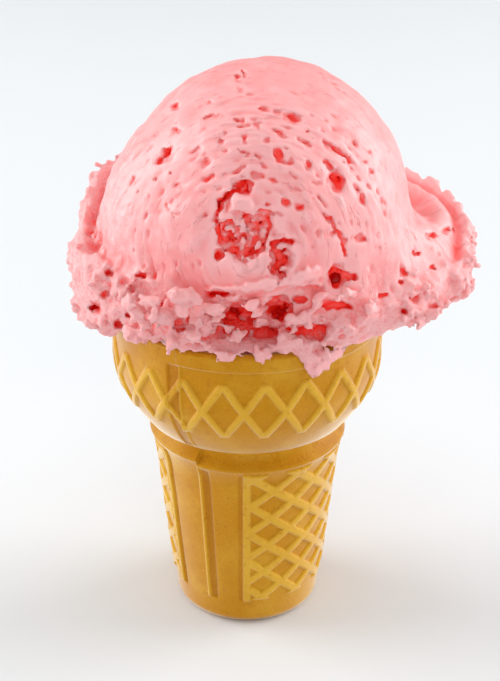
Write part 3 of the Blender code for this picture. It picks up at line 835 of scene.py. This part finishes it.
def alongGrain(points):
    # Coordinates in mm in which drag lines run along: arc from the axis, then the two
    # offsets square to it
    axis, side, lift = grainFrame()
    away = points - np.array(scoop["centre"])
    outward = away / np.maximum(np.linalg.norm(away, axis=-1), 1e-6)[..., None]
    arc = np.arccos(np.clip(outward @ axis, -1.0, 1.0))
    return np.stack([arc, outward @ side, outward @ lift], -1) * scoop["radius"]


def strewnPits(points, short, long, share, reach, seed):
    # Depth share of oval pits strewn along the drag lines: one at some of the cells'
    # seed points, each with its own size
    near, chance = cells(alongGrain(points) / np.array([short, long, long]), 1.0, seed)
    radius = reach * (0.55 + 0.45 * chance / share)
    return (1.0 - ease(0.35 * radius, radius, near)) * (chance < share)


def addLump(field, axes, spot, halfSizes, tilt, seed, melt=0.7):
    # An oval lump with noise on it, turned to face out from the axis, melted into the field
    reach = 1.5 * max(halfSizes) + 1.0
    window = []
    for axis, value in zip(axes, spot):
        window.append(slice(*np.searchsorted(axis, (value - reach, value + reach))))
    x, y, z = np.ix_(*(axis[part] - value for axis, part, value in zip(axes, window, spot)))
    azimuth = math.atan2(spot[0], -spot[1])
    across = x * math.cos(azimuth) + y * math.sin(azimuth)
    deep = x * math.sin(azimuth) - y * math.cos(azimuth)
    angle = math.radians(tilt)
    wide = across * math.cos(angle) + z * math.sin(angle)
    tall = z * math.cos(angle) - across * math.sin(angle)
    wide, tall, deep = np.broadcast_arrays(wide, tall, deep)
    share = np.sqrt((wide / halfSizes[0]) ** 2 + (tall / halfSizes[1]) ** 2 + (deep / halfSizes[2]) ** 2)
    places = np.stack([wide, tall, deep], -1) + seed * 3.7
    rough = 0.5 * ripple(places, 1.1 * min(halfSizes) + 0.5, 122) + 0.25 * ripple(places, 1.1, 123)
    lump = (share - 1.0 + rough) * min(halfSizes)
    part = tuple(window)
    field[part] = together(field[part], lump.astype(np.float32), melt)


def sampled(field, axes, points):
    # Field at points between the grid's own, mixed from the 8 around each
    step = axes[0][1] - axes[0][0]
    spots = (points - np.array([axis[0] for axis in axes])) / step
    spots = np.clip(spots, 0.0, np.array(field.shape) - 1.001)
    cell = spots.astype(np.int64)
    part = spots - cell
    total = np.zeros(len(points))
    for dx in (0, 1):
        for dy in (0, 1):
            for dz in (0, 1):
                corner = np.array([dx, dy, dz])
                weight = np.abs(1 - corner - part).prod(1)
                total += weight * field[tuple((cell + corner).T)]
    return total


def slopeAt(field, axes, points):
    # Direction in which the field grows, from differences half a step to each side
    step = axes[0][1] - axes[0][0]
    slope = np.zeros(points.shape)
    for axis in range(3):
        shift = np.zeros(3)
        shift[axis] = 0.5 * step
        ahead = sampled(field, axes, points + shift)
        behind = sampled(field, axes, points - shift)
        slope[:, axis] = (ahead - behind) / step
    return slope


def surfaceOf(field, axes):
    # Each grid cell that the surface crosses gets one point, the mean of the crossings on
    # its 12 edges, and each grid edge that it crosses gets one quad of the 4 cells round it
    inside = field < 0
    corners = [(a, b, c) for a in (0, 1) for b in (0, 1) for c in (0, 1)]
    nx, ny, nz = (size - 1 for size in field.shape)
    count = sum(inside[a:a + nx, b:b + ny, c:c + nz].astype(np.int8) for a, b, c in corners)
    cell = np.argwhere((count > 0) & (count < 8))
    number = np.full((nx, ny, nz), -1, np.int32)
    number[tuple(cell.T)] = np.arange(len(cell))
    values = {corner: field[tuple((cell + corner).T)].astype(float) for corner in corners}
    total = np.zeros((len(cell), 3))
    crossings = np.zeros(len(cell))
    for first in corners:
        for axis in range(3):
            if first[axis] == 1:
                continue
            second = tuple(1 if place == axis else value for place, value in enumerate(first))
            crossed = (values[first] < 0) != (values[second] < 0)
            share = values[first] / np.where(crossed, values[first] - values[second], 1.0)
            spot = np.array(first, float) + share[:, None] * (np.arange(3) == axis)
            total += np.where(crossed[:, None], spot, 0.0)
            crossings += crossed
    step = axes[0][1] - axes[0][0]
    points = (cell + total / crossings[:, None]) * step + np.array([axis[0] for axis in axes])
    quads = []
    for axis in range(3):
        ahead = np.roll(inside, -1, axis)
        spots = np.argwhere(inside != ahead)
        spots = spots[spots[:, axis] < field.shape[axis] - 1]
        one = np.eye(3, dtype=int)[(axis + 1) % 3]
        two = np.eye(3, dtype=int)[(axis + 2) % 3]
        around = [number[tuple((spots - shift).T)] for shift in (one + two, two, 0 * one, one)]
        quad = np.stack(around, -1)
        outward = inside[tuple(spots.T)]
        quads.append(np.where(outward[:, None], quad, quad[:, ::-1]))
    return points, np.concatenate(quads)


def largestBody(points, quads):
    # Leaves out crumbs in mid-air and sealed bubbles: every point takes the lowest number
    # among its neighbours until nothing changes
    label = np.arange(len(points))
    while True:
        lowest = label[quads].min(1)
        new = label.copy()
        for corner in range(4):
            np.minimum.at(new, quads[:, corner], lowest)
        new = new[new]
        if (new == label).all():
            break
        label = new
    body = np.bincount(label).argmax()
    kept = label == body
    number = np.cumsum(kept) - 1
    return points[kept], number[quads[kept[quads[:, 0]]]]


def makeScoop():
    step = scoop["step"]
    axes = [np.arange(low, high, step) for low, high in zip(scoop["low"], scoop["high"])]
    x, y, z = np.ix_(*axes)
    radius, azimuth, melt, skirtField, ballField = roughForm(x, y, z)

    # The skin of the ball hangs over a torn wall in front
    start, full, rest, end = scoop["skinAzimuths"]
    front = ease(start, full, azimuth) * (1.0 - ease(rest, end, azimuth))
    window = np.broadcast_to(front > 0.0, ballField.shape) & (np.abs(ballField) < 7.0) & (z < 96.0)
    places = np.argwhere(window)
    points = places * step + np.array(scoop["low"])
    column, row = inPhoto(points)
    skin = np.interp(column, scoop["skinColumns"], scoop["skinRows"]) + 2.0 * ripples(points, 3.0, 2, 95)
    across = np.hypot(points[:, 0], points[:, 1])
    weight = front[places[:, 0], places[:, 1], 0]
    below = (row - skin) / 5.1 - 0.35 * ballField[window] - 12.0 * (1.0 - weight)
    wall = scoop["wallRadius"] + 0.25 * np.maximum(points[:, 2] - 78.0, 0.0)
    torn = np.minimum(below, across - wall)
    ballField[window] = common(ballField[window], torn.astype(np.float32), 0.6)
    field = together(ballField, skirtField, melt)
    plug = np.maximum(np.maximum(radius - 25.7, z - 84.0), 70.5 - z)
    field = together(field, plug.astype(np.float32), 1.0)

    # A thin apron over the rim, cut along the hem
    near = (np.abs(azimuth) < 62.0) & (np.abs(radius - 30.0) < 3.0) & (z < 78.0)
    places = np.argwhere(np.broadcast_to(near, field.shape))
    points = places * step + np.array(scoop["low"])
    column, row = inPhoto(points)
    hem = np.interp(column, scoop["hemColumns"], scoop["hemRows"]) + 1.5 * ripples(points, 2.5, 2, 97)
    across = np.hypot(points[:, 0], points[:, 1])
    apron = np.maximum(np.abs(across - 30.0) - 0.8, points[:, 2] - 75.5)
    apron = common(apron, (row - hem) / 5.2, 1.0)
    part = tuple(places.T)
    field[part] = together(field[part], apron.astype(np.float32), 1.0)
    print("ice cream: main form")

    whole = field.copy()

    # Marks that the photo shows, on the side that faces the camera
    window = np.abs(field) < 7.0
    places = np.argwhere(window)
    points = places * step + np.array(scoop["low"])
    values = field[window].astype(float)
    slope = np.stack([part[window] for part in np.gradient(field)], -1)
    slope /= np.maximum(np.linalg.norm(slope, axis=1), 1e-6)[:, None]
    toEye = viewFrame()[0] / mm - points
    toEye /= np.linalg.norm(toEye, axis=1)[:, None]
    facing = (slope * toEye).sum(1)
    near = (values < 2.4) & (facing > 0.0) & (values > -6.9)
    values[near] += photoMarks(points[near], facing[near])
    field[window] = values.astype(np.float32)
    print("ice cream: marks")

    # Lumps that the photo shows, then crumbs stuck on at random
    for index, (px, py, out, wide, tall, deep, tilt) in enumerate(scoop["lumps"]):
        spot = onUpright(px, py, out * mm) / mm
        addLump(field, axes, spot, (wide, tall, deep), tilt, index)
    draw = np.random.default_rng(77)
    skinned = np.argwhere((np.abs(field) < 0.5 * step) & (z < 92.0) & (radius > 27.0) & (z > 73.0))
    chosen = skinned[draw.choice(len(skinned), scoop["strayCrumbs"] * 2)]
    places = chosen * step + np.array(scoop["low"])
    cavity = (np.abs(places[:, 0]) < 9.0) & (places[:, 1] < 0.0)
    low = (draw.random(len(places)) < ease(93.0, 82.0, places[:, 2])) & ~cavity
    for index, place in enumerate(places[low][:scoop["strayCrumbs"]]):
        size = draw.uniform(0.45, 1.2) * draw.uniform(0.7, 1.4, 3)
        addLump(field, axes, place, size, draw.uniform(-90.0, 90.0), index, 0.5)
    print("ice cream: lumps and crumbs")

    # Roughness, worked out only close to the surface
    window = np.abs(field) < 2.4
    points = np.argwhere(window) * step + np.array(scoop["low"])
    away = np.linalg.norm(points - np.array(scoop["centre"]), axis=1)
    ragged = raggedness(points, away) * (1.0 - 0.25 * ease(0.5, 3.0, -whole[window]))
    ragged *= 0.40 + 0.60 * ease(71.5, 76.0, points[:, 2])        # the hem on the rim is thin
    field[window] -= (2.0 * np.tanh(roughness(points, ragged) / 2.0)).astype(np.float32)

    # Room for the wafer's rim
    rimRoom = np.maximum(np.maximum(radius - 29.35, 26.1 - radius), z - wafer["rimHeight"] - 0.3)
    field = np.maximum(field, -rimRoom.astype(np.float32))
    field = np.maximum(field, (scoop["low"][2] + 1.5 - z).astype(np.float32))
    print("ice cream: roughness")
    return drawScoop(field, whole, axes)


def raggedness(points, away):
    # 1 on the torn skirt, 0 on the smooth ball and little on the smooth slope beside it
    radius = np.hypot(points[:, 0], points[:, 1])
    azimuth = np.degrees(np.arctan2(points[:, 0], -points[:, 1]))
    height = points[:, 2]
    stations = np.array(scoop["stations"])
    ridge = np.interp(azimuth, stations[:, 0], stations[:, 1])
    ridgeTop = np.interp(azimuth, stations[:, 0], stations[:, 2])
    offBall = ease(0.5, 2.5, np.abs(away - scoop["radius"]))
    wander = 1.6 * ripple(points, 6.0, 141)
    below = 1.0 - ease(-1.8, 2.0, height - ridgeTop + wander)
    outer = ease(-4.5, -1.0, radius - ridge + wander)
    right = ease(26.0, 42.0, azimuth) * (1.0 - ease(128.0, 150.0, azimuth))
    rightShare = np.maximum(0.75 * below * outer, 0.12)
    leftShare = np.maximum(below, 0.25 + 0.45 * outer)
    return offBall * (rightShare * right + leftShare * (1.0 - right))


def roughness(points, ragged):
    # Height in mm of clotted crumbs on the torn parts, and of pits and drag lines on the ball
    height = np.zeros(len(points))
    torn = ragged > 0.03
    spots = points[torn]
    crumbs = 1.3 * ripple(spots, 6.5, 103) + 1.1 * ripples(spots, 3.6, 2, 105, 0.6)
    for index, (size, strength) in enumerate(scoop["crumbSizes"]):
        shifted = spots + 0.5 * size * ripple(spots, size, 150 + index)[:, None]
        near, chance = cells(shifted, size, 101 + index)
        crumbs += strength * (0.45 - near * near + 0.6 * (chance - 0.5))
    height[torn] = (crumbs - 1.3) * ragged[torn]
    smooth = ragged < 0.6
    spots = points[smooth]
    column, row = toPixels(spots * mm)
    worked = (1.0 - ease(0.6, 1.1, fromOval(column, row, *scoop["workedOval"]))) * (spots[:, 1] < 0.0)
    busy = np.maximum(worked, 0.2 + 0.5 * ease(-0.2, 0.3, ripple(spots, 11.0, 61)))
    pits = np.maximum(0.75 * strewnPits(spots, 1.5, 3.6, 0.65, 0.30, 71),
                      1.15 * strewnPits(spots, 3.0, 7.5, 0.45, 0.26, 72))
    pits = np.maximum(pits, 0.85 * strewnPits(spots, 2.1, 4.2, 0.45, 0.30, 73))
    drag = ripples(alongGrain(spots) / np.array([0.9, 4.5, 4.5]), 1.0, 2, 81)
    skin = 0.55 * ripple(spots, 14.0, 91) + 0.40 * ripple(spots, 6.0, 92)
    skin += 0.16 * ripple(spots, 2.4, 93) - 0.55 + (0.20 * drag - pits) * busy
    height[smooth] += skin * (1.0 - ragged[smooth] / 0.6)
    return height


def boxMean(field, reach):
    # Mean over a box of cells reaching as far to each side, one axis after another
    for axis in range(3):
        sums = np.cumsum(field, axis, dtype=np.float64)
        ahead = np.roll(sums, -reach, axis)
        behind = np.roll(sums, reach + 1, axis)
        field = ((ahead - behind) / (2 * reach + 1)).astype(np.float32)
    return field


def drawScoop(field, whole, axes):
    # Surface of the field, its points moved on to it, thinned and painted
    points, quads = largestBody(*surfaceOf(field, axes))
    for _ in range(2):
        slope = slopeAt(field, axes, points)
        steep = np.maximum((slope * slope).sum(1), 0.2)
        shift = -(sampled(field, axes, points) / steep)[:, None] * slope
        size = np.linalg.norm(shift, axis=1)
        shift *= np.minimum(1.0, 0.25 / np.maximum(size, 1e-6))[:, None]
        points = points + shift
    piece = meshFrom("scoop_mass", points * mm, quads)
    triangles = 2 * len(quads)
    if triangles > scoop["mostTriangles"]:
        thin = piece.modifiers.new("thin", "DECIMATE")
        thin.ratio = scoop["mostTriangles"] / triangles
        depsgraph = bpy.context.evaluated_depsgraph_get()
        mesh = bpy.data.meshes.new_from_object(piece.evaluated_get(depsgraph))
        piece.modifiers.clear()
        piece.data = mesh
        mesh.shade_smooth()
    print("ice cream: surface of", triangles, "triangles, kept", len(piece.data.polygons))
    spots = positions(piece) / mm
    normal = outwards(piece)
    # How shut in each point is, painted as shade in creases and pits: the share of ice cream
    # in boxes round it, 0 on a flat face and 1 deep inside a pit
    hollowShade = np.zeros(len(spots))
    for reach, weight in scoop["shutIn"]:
        filled = boxMean((field < 0).astype(np.float32), round(reach / (axes[0][1] - axes[0][0])))
        hollowShade += weight * (2.0 * sampled(filled, axes, spots + 0.15 * normal) - 1.0)
    # Ice cream sunk below the untorn form gets more painted shade still
    sunk = -sampled(whole, axes, spots)
    hollowShade += scoop["sunkShare"] * np.clip(sunk - scoop["sunkFrom"], 0.0, 4.0)
    paint(piece, "hollowShade", hollowShade)
    paint(piece, "ragged", raggedness(spots, np.linalg.norm(spots - np.array(scoop["centre"]), axis=1)))
    paintSpots(piece, "grain", alongGrain(spots))
    return piece


def makeCore():
    # Ice cream inside the wafer's bowl, up into the mass above
    rows = np.array([(12.0, 50.9), (19.5, 50.9), (22.2, 53.0), (24.0, 56.0), (25.4, 60.0),
                     (26.0, 64.0), (26.0, 68.5), (23.5, 70.5), (18.0, 72.5), (10.0, 74.0)])
    turn = np.linspace(-math.pi, math.pi, 96, endpoint=False)[None, :]
    points = np.stack([rows[:, :1] * np.sin(turn), -rows[:, :1] * np.cos(turn),
                       np.repeat(rows[:, 1:], 96, 1)], -1) * mm
    core = meshFrom("scoop_core", *wrapped(points))
    # The core is painted with an even share of shade
    paint(core, "hollowShade", np.full(len(core.data.vertices), scoop["coreHollowShade"]))
    return core


cream = {
    # pale is partly painted light on open tips, partly random tone
    "colour": (0.97, 0.285, 0.285), "pale": (0.98, 0.46, 0.46),
    # Painted shade: pink in creases, red in pits, darkest red deep in cavities
    "creaseShade": (0.98, 0.13, 0.105), "deep": (0.92, 0.035, 0.015), "darkestShade": (0.42, 0.003, 0.001),
    # The emission colour is a painted red glow in the hollows
    "softness": 0.0008, "paintedGlow": (0.10, 0.0, 0.0),
}


def makeCreamMaterial():
    # Crumb tips and edges are painted pale as light, creases pink and cavities red as shade
    paper = Paper("strawberry_cream")
    spot = paper.place()
    hollowShade = paper.layer("hollowShade")
    ragged = paper.layer("ragged")
    clouds = paper.noise(spot, 120.0, 4.0)
    grain = paper.noise(spot, 900.0, 3.0)
    sparkle = paper.noise(spot, 3200.0, 2.0)
    crumb = paper.noise(spot, 1500.0, 4.0, 0.7)
    along = paper.node("ShaderNodeMapping", {}, {"Vector": paper.layer("grain", "Vector"),
                                                 "Scale": (1.0, 0.28, 0.28)})
    nicks = paper.noise(along, 0.9, 3.0, 0.6).between(0.58, 0.74)
    nicks = nicks * (1.0 - ragged).clipped()
    # Share of painted shade: how shut in a point is, redder in the drag nicks, paler on the torn parts,
    # varied at random by crumb and cloud noise
    depth = hollowShade + nicks * 0.10 + ((crumb - 0.5) * 1.8 - 0.10) * ragged + (clouds - 0.5) * 0.25
    colour = paper.blend(depth.between(-0.30, 0.06), (*cream["pale"], 1.0), (*cream["colour"], 1.0))
    colour = paper.blend(depth.between(0.08, 0.42), colour, (*cream["creaseShade"], 1.0))
    bottom = depth - (1.0 - ragged) * 0.08
    colour = paper.blend(bottom.between(0.38, 0.70), colour, (*cream["deep"], 1.0))
    colour = paper.blend(depth.between(0.66, 1.05), colour, (*cream["darkestShade"], 1.0))
    height = grain * 0.6 + sparkle * 0.3 + clouds * 0.6 - nicks * 2.8
    height = height + (crumb * 5.0 + sparkle * 2.0) * ragged
    # A painted red glow in the hollows, standing in for light scattered inside the ice cream
    paintedGlow = paper.blend(depth.between(0.0, 0.40), (0.0, 0.0, 0.0, 1.0), (*cream["paintedGlow"], 1.0))
    return paper.finish({
        "Base Color": colour,
        "Roughness": 0.34 + grain * 0.16,
        "Specular IOR Level": 0.5,
        "Emission Color": paintedGlow,
        "Emission Strength": 1.0,
        "Subsurface Weight": 0.5,
        "Subsurface Radius": (1.0, 0.60, 0.55),
        "Subsurface Scale": cream["softness"],
        "Normal": paper.bump(height, 0.00016, 0.6),
    })


creamMaterial = makeCreamMaterial()
creamPieces = (makeScoop(), makeCore())
print("ice cream shaped")
for creamPiece in creamPieces:
    creamPiece.data.materials.append(creamMaterial)
    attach(creamPiece, "root")
    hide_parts("strawberry_scoop")
print("ice cream dressed")


# Studio: pale floor, soft lights from both sides and above

studio = {
    "floorSize": 6.0, "floorColour": (0.765, 0.795, 0.815),
    "sky": 0.36,
    # name, place, height that it aims at, size, watts
    "lamps": (
        ("leftSoftbox", (-1.10, 0.25, 0.45), 0.08, 1.0, 12.6),
        ("rightSoftbox", (1.10, 0.30, 0.45), 0.08, 1.0, 12.4),
        ("topSoftbox", (0.0, 0.05, 1.50), 0.06, 1.8, 8.8),
        ("frontSoftbox", (0.10, -1.20, 0.40), 0.08, 0.9, 3.8),
    ),
}


def makeFloor():
    half = studio["floorSize"] / 2.0
    points = np.array([(-half, -half, 0.0), (half, -half, 0.0), (half, half, 0.0), (-half, half, 0.0)])
    floor = meshFrom("studio_floor", points, np.array([[0, 1, 2, 3]]))
    paper = Paper("studio_paper")
    floor.data.materials.append(paper.finish({
        "Base Color": (*studio["floorColour"], 1.0),
        "Roughness": 0.6,
        "Specular IOR Level": 0.2,
    }))


def makeLamps():
    for name, place, aim, size, watts in studio["lamps"]:
        light = bpy.data.lights.new(name, "AREA")
        light.shape = "DISK"
        light.size = size
        light.energy = watts
        lamp = bpy.data.objects.new(name, light)
        bpy.context.scene.collection.objects.link(lamp)
        lamp.location = place
        toward = Vector((0.0, 0.0, aim)) - Vector(place)
        lamp.rotation_euler = toward.to_track_quat("-Z", "Y").to_euler()


def makeSky():
    world = bpy.data.worlds.new("studio_air")
    world.use_nodes = True
    world.node_tree.nodes["Background"].inputs["Color"].default_value = (1.0, 1.0, 1.0, 1.0)
    world.node_tree.nodes["Background"].inputs["Strength"].default_value = studio["sky"]
    bpy.context.scene.world = world


def makeCamera():
    lens = bpy.data.cameras.new("portrait_camera")
    lens.sensor_fit = "HORIZONTAL"
    lens.sensor_width = 36.0
    lens.lens = view["focalPixels"] / view["imageWidth"] * lens.sensor_width
    lens.shift_x = (view["imageWidth"] / 2.0 - view["axisPixel"]) / view["imageWidth"]
    lens.clip_start = 0.01
    camera = bpy.data.objects.new("portrait_camera", lens)
    bpy.context.scene.collection.objects.link(camera)
    camera.location = viewFrame()[0]
    camera.rotation_euler = (math.radians(90.0 - view["pitch"]), 0.0, 0.0)
    bpy.context.scene.camera = camera


makeFloor()
makeLamps()
makeSky()
makeCamera()
bpy.context.scene.view_settings.view_transform = "Standard"
print("studio set")
